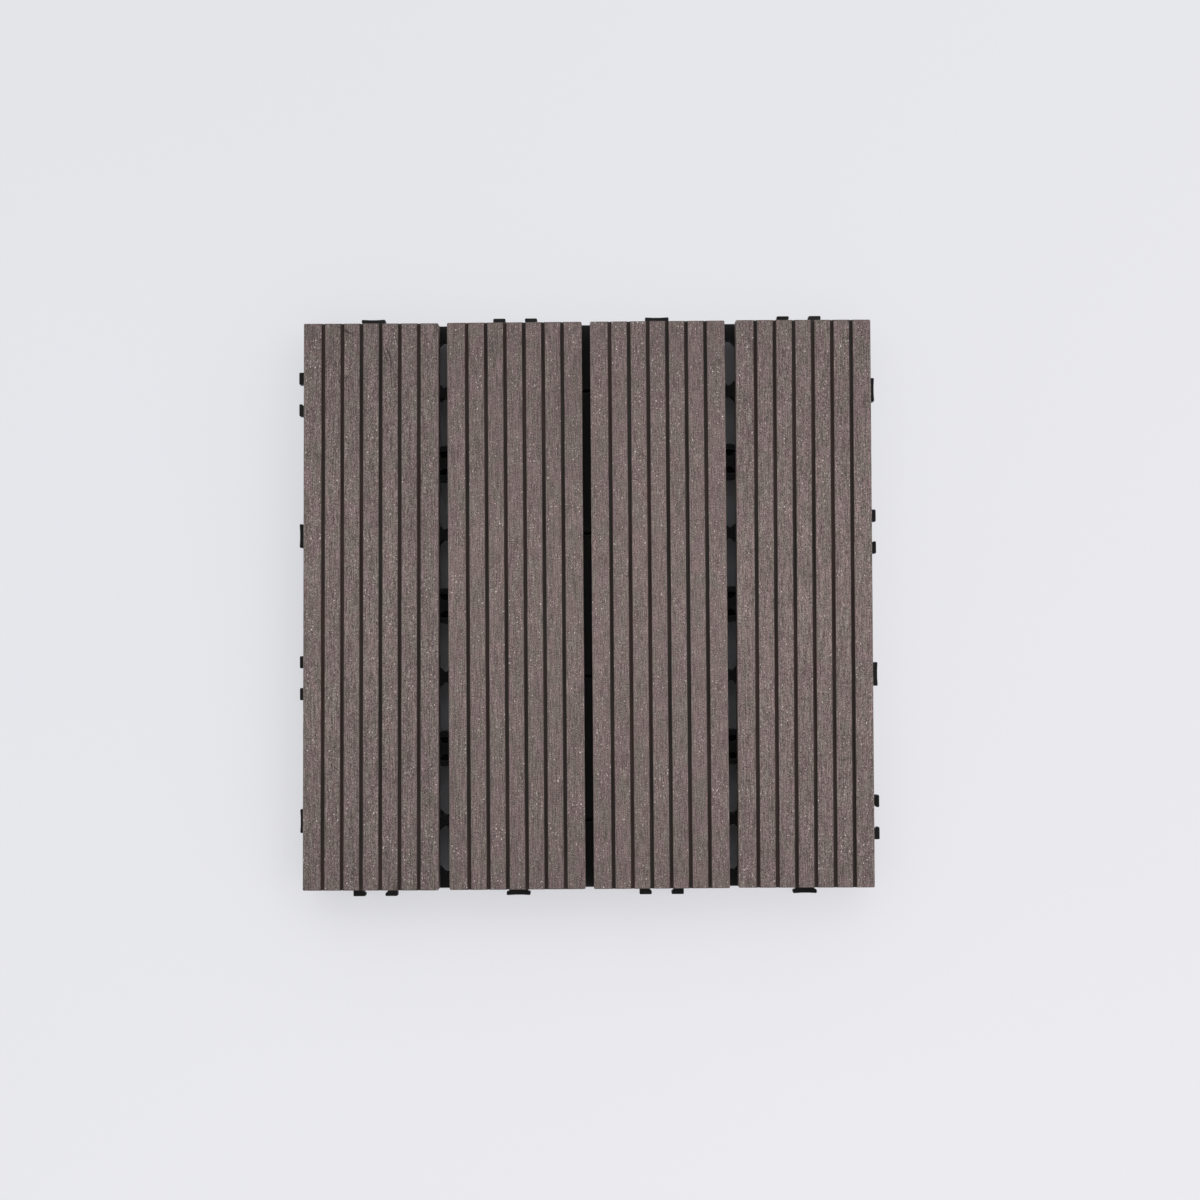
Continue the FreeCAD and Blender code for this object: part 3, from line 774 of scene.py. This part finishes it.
def keyOutline(look):
    out, shoulder = look["reach"], look["reach"] - look["headDepth"]
    neck, head, (flat, dip) = look["neck"], look["head"], look["dip"]
    right = [(neck, -look["root"]), (neck, shoulder), (head, shoulder), (head, out), (flat, out - dip)]
    return right + [(-across, ahead) for across, ahead in reversed(right)]


def clawOutline(look):
    out, (inner, outer), (hook, deep) = look["reach"], look["stem"], look["hook"]
    stem = [(inner, -look["root"]), (outer, -look["root"]), (outer, out)]
    return stem + [(hook, out), (hook, out - deep), (inner, out - deep - (inner - hook))]


# Keys and claw pairs by turns, the same way round on all four sides, as seen from above.
def addKeys(bm, grid, look):
    key, claw = keyOutline(look), clawOutline(look)
    mirrored = [(-across, ahead) for across, ahead in reversed(claw)]
    outlines = [(place, key) for place in look["keyPlaces"]]
    outlines += [(place, side) for place in look["clawPlaces"] for side in (claw, mirrored)]
    for quarter in range(4):
        turn = Matrix.Rotation(-math.pi / 2 * quarter, 2)
        for place, outline in outlines:
            along = place * grid["module"]
            corners = [turn @ Vector((across + along, ahead + grid["half"])) for across, ahead in outline]
            loop = roundedLoop(corners, **look["round"])
            addSlab(bm, [loop], grid["low"], look["high"], grid["soft"])


def addGrid(look):
    bm = bmesh.new()
    half, low, high, soft, sunk = look["half"], look["low"], look["high"], look["soft"], look["sunk"]
    square = [(half, half), (-half, half), (-half, -half), (half, -half)]
    rim = roundedLoop(square, **look["corner"])
    addSlab(bm, [rim] + wholeOpenings(look) + rimOpenings(look), low, high, soft)
    addSpine(bm, look, low + sunk, high - sunk)
    for outer, inner in ringPairs(look, look["foot"]):
        addSlab(bm, [outer, inner], low - sunk, high - 2 * sunk, soft)
        addSlab(bm, [outer], 0, low + sunk, soft)
    for outer, inner in ringPairs(look, look["boss"]):
        addSlab(bm, [outer], low, high - 3 * sunk, soft)
        addSlab(bm, [outer, inner], 0, low + sunk, soft)
    addKeys(bm, look, keyLook)
    piece = addObject("moulded_grid", meshOf(bm, "moulded_grid"), [gridFinish()])
    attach(piece, "root")
    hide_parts("base_grid")


# Screws, with the thread and the driver recess that the plain solids leave out
screwLook = {
    "seat": 3.0 * mm,
    "head": 7.6 * mm,
    "headHeight": 2.4 * mm,
    "headSteps": 28,
    "dome": 0.9 * mm,
    "domeTurns": (0, 0.5, 0.9, 1.2, 1.45),  # radians from the lowest point
    "rim": 1.0 * mm,  # height at which the head is widest, from its lowest point
    "recess": 3.0 * mm,  # across the cross
    "recessWidth": 0.95 * mm,
    "recessDepth": 1.3 * mm,
    "recessFloor": (0.55, 0.62),  # its length and width there, as shares of those at its mouth
    "recessOver": 0.5 * mm,  # how far the cutter stands out of the head
    "shank": 4.0 * mm,
    "length": 14.0 * mm,
    "point": 3.0 * mm,
    "tip": 0.05 * mm,
    "pitch": 1.5 * mm,
    "core": 0.72,  # core of the thread, as a share of the shank
    "crest": 0.5,  # share of the pitch that a thread takes up
    "turnSteps": 14,
    "rowsPerTurn": 4,
    "spacing": 76.2 * mm,
    "perSide": 4,
    "seed": 7,
}

# Zinc plating
zincLook = {
    "roughness": 0.34,
    "specular": 0.5,
    "metallic": 1.0,
    "rough": {"levels": (0.3, 0.7), "ends": (0.27, 0.44)},
    "cloud": {
        "scale": (420, 420, 420),
        "noise": {"detail": 3},
        "levels": (0.3, 0.7),
        "tones": ((0.46, 0.46, 0.45), (0.62, 0.62, 0.60)),
    },
    "fine": (3000, 3000, 3000),
    "bump": {"height": 0.01 * mm, "strength": 0.4},
}


def screwFinish(look=zincLook):
    finish = Finish("zinc_plated", look)
    finish.shader.inputs["Metallic"].default_value = look["metallic"]
    fine = finish.noise(look["fine"])
    finish.colour(finish.pattern(look["cloud"])[1])
    finish.roughen(fine, **look["rough"])
    finish.bump(fine, look["bump"])
    return finish.material


# Pan head, its underside at the seat.
def screwHead(look):
    bm = bmesh.new()
    radius, seat, low = look["head"] / 2, look["seat"], look["seat"] - look["headHeight"]
    dome = look["dome"]
    profile = [(radius * math.sin(turn), low + dome * (1 - math.cos(turn))) for turn in look["domeTurns"]]
    profile += [(radius, low + look["rim"]), (radius, seat), (0, seat)]
    verts = [bm.verts.new((across, 0, up)) for across, up in profile]
    edges = [bm.edges.new(pair) for pair in zip(verts, verts[1:])]
    bmesh.ops.spin(
        bm,
        geom=verts + edges,
        cent=(0, 0, 0),
        axis=(0, 0, 1),
        dvec=(0, 0, 0),
        angle=math.tau,
        steps=look["headSteps"],
        use_merge=True,
    )
    bmesh.ops.remove_doubles(bm, verts=bm.verts[:], dist=hair / 2)
    bmesh.ops.recalc_face_normals(bm, faces=bm.faces[:])
    return meshOf(bm, "head")


# Threaded shank: rings of a helix, drawn in to a point.
def screwShank(look):
    bm = bmesh.new()
    steps = look["turnSteps"]
    radius, core = look["shank"] / 2, look["shank"] / 2 * look["core"]
    seat, end = look["seat"], look["seat"] + look["length"]
    rows = int(look["length"] / look["pitch"] * look["rowsPerTurn"])
    rings = []
    for row in range(rows + 1):
        up = seat + look["length"] * row / rows
        taper = min(1.0, (end - up) / look["point"])
        ring = []
        for step in range(steps):
            turn = math.tau * step / steps
            phase = ((up - seat) / look["pitch"] - step / steps) % 1.0
            crest = max(0.0, 1 - abs(phase - 0.5) / look["crest"] * 2)
            reach = max(look["tip"], (core + (radius - core) * crest) * taper)
            ring.append(bm.verts.new((reach * math.cos(turn), reach * math.sin(turn), up)))
        rings.append(ring)
    for lower, upper in zip(rings, rings[1:]):
        for step in range(steps):
            after = (step + 1) % steps
            bm.faces.new((lower[step], lower[after], upper[after], upper[step]))
    bm.faces.new(list(reversed(rings[0])))
    bm.faces.new(rings[-1])
    bmesh.ops.recalc_face_normals(bm, faces=bm.faces[:])
    return meshOf(bm, "shank")


# Takes a cross out of the head with two crossed tapering bars.
def cutRecess(head, look):
    low = look["seat"] - look["headHeight"]
    shorter, narrower = look["recessFloor"]
    bm = bmesh.new()
    for turn in (0, math.pi / 2):
        bar = bmesh.ops.create_cube(bm, size=1)["verts"]
        for vert in bar:
            atFloor = vert.co.z > 0
            vert.co.x *= look["recess"] * (shorter if atFloor else 1.0)
            vert.co.y *= look["recessWidth"] * (narrower if atFloor else 1.0)
            vert.co.z = low + (look["recessDepth"] if atFloor else -look["recessOver"])
        bmesh.ops.rotate(bm, verts=bar, cent=(0, 0, 0), matrix=Matrix.Rotation(turn, 3, "Z"))
    cutter = addObject("cross", meshOf(bm, "cross"))
    whole = addObject("head", head)
    cut = whole.modifiers.new("cross", "BOOLEAN")
    cut.operation = "DIFFERENCE"
    cut.solver = "EXACT"
    cut.use_self = True
    cut.object = cutter
    bpy.context.view_layer.update()
    done = bpy.data.meshes.new_from_object(whole.evaluated_get(bpy.context.evaluated_depsgraph_get()))
    for item in (cutter, whole):
        bpy.data.objects.remove(item)
    return done


def addScrews(look):
    head, shank = cutRecess(screwHead(look), look), screwShank(look)
    bm = bmesh.new()
    dice = random.Random(look["seed"])
    half = (look["perSide"] - 1) / 2
    for column in range(look["perSide"]):
        for row in range(look["perSide"]):
            start = len(bm.verts)
            bm.from_mesh(head)
            bm.from_mesh(shank)
            bm.verts.ensure_lookup_table()
            fresh = bm.verts[start:]
            turn = Matrix.Rotation(dice.uniform(0, math.tau), 4, "Z")
            place = ((column - half) * look["spacing"], (row - half) * look["spacing"], 0)
            bmesh.ops.transform(bm, matrix=Matrix.Translation(place) @ turn, verts=fresh)
    piece = addObject("threaded_screws", meshOf(bm, "threaded_screws"), [screwFinish()])
    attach(piece, "root")
    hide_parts("fixing_screws")


# Pale floor. To the camera it is partly a plain backdrop, outside the tile's own outline. Under the tile it
# is darkened, a painted shade.
floorLook = {
    "size": 24.0,
    "roughness": 0.9,
    "specular": 0.05,
    "tones": ((0.765, 0.775, 0.805), (0.83, 0.825, 0.86)),  # far left and near right
    "slope": 0.85,
    "clear": (0.146, 0.152),  # from the middle, where the ground under the tile ends
    "under": 0.68,  # how bright that ground is, as a share of the rest, a painted shade under the tile
    "backdrop": (0.66, 0.86),  # share of the look that takes no shadow, near left and far right
    "across": 0.15,  # from the middle, where those two shares are full
}


def floorFinish(look):
    finish = Finish("floor", look)
    place = finish.split(finish.place)
    slope = finish.sum("MULTIPLY", finish.sum("SUBTRACT", place["X"], place["Y"]), look["slope"])
    shade = finish.blend(finish.sum("ADD", slope, 0.5), *look["tones"])
    away = finish.sum("MAXIMUM", finish.sum("ABSOLUTE", place["X"]), finish.sum("ABSOLUTE", place["Y"]))
    # painted shade: the ground under the tile darker than the rest
    paintedShade = finish.fit(away, *look["clear"], look["under"], 1)
    finish.colour(finish.blend(paintedShade, (0, 0, 0), shade))
    backdrop = finish.node("ShaderNodeEmission", Color=shade)
    seen = finish.tree.nodes.new("ShaderNodeLightPath").outputs
    straight = finish.sum("MAXIMUM", seen["Is Camera Ray"], seen["Is Transmission Ray"])
    farRight = finish.sum("ADD", place["X"], place["Y"])
    side = finish.fit(farRight, -look["across"], look["across"], *look["backdrop"])
    share = finish.sum("MULTIPLY", finish.fit(away, *look["clear"]), side)
    mixed = finish.node("ShaderNodeMixShader", Fac=finish.sum("MULTIPLY", straight, share))
    finish.join(finish.shader.outputs[0], mixed.inputs[1])
    finish.join(backdrop.outputs[0], mixed.inputs[2])
    finish.join(mixed.outputs[0], finish.tree.nodes["Material Output"].inputs["Surface"])
    return finish.material


def addFloor(look):
    bm = bmesh.new()
    bmesh.ops.create_grid(bm, x_segments=1, y_segments=1, size=look["size"] / 2)
    floor = addObject("floor", meshOf(bm, "floor"), [floorFinish(look)])


# Soft light from all round, a little more of it from the right and the far side
skyLook = {
    "light": (1.0, 1.0, 1.02),
    "strength": 1.42,
    "dim": 0.10,  # what is left of it straight overhead, where the camera hangs
    "dimEdge": (0.76, 0.92),  # cosine of the angle from overhead, where the dimming starts and is full
    "toward": (0.18, 0.42),  # extra share of light from the right and from the far side
}


def addSky(look):
    world = bpy.data.worlds.new("world")
    bpy.context.scene.world = world
    world.use_nodes = True
    sky = Nodes(world.node_tree)
    way = sky.split(sky.tree.nodes.new("ShaderNodeTexCoord").outputs["Generated"])
    height = sky.fit(way["Z"], *look["dimEdge"], look["strength"], look["strength"] * look["dim"])
    height.node.interpolation_type = "SMOOTHSTEP"
    right, far = look["toward"]
    aside = sky.sum("MULTIPLY_ADD", way["X"], right, 1)
    ahead = sky.sum("MULTIPLY_ADD", way["Y"], far, aside)
    light = sky.tree.nodes["Background"].inputs
    sky.join(look["light"], light["Color"])
    sky.join(sky.sum("MULTIPLY", height, ahead), light["Strength"])


addCamera(cameraLook)
print("camera set")
for index, (name, board) in enumerate(boards.items()):
    addBoard(name, board, index, boardLook)
print("boards brushed")
addGrid(gridLook)
print("grid moulded")
addScrews(screwLook)
print("screws threaded")
addFloor(floorLook)
addSky(skyLook)
bpy.context.scene.view_settings.view_transform = "Standard"
print("stage lit")
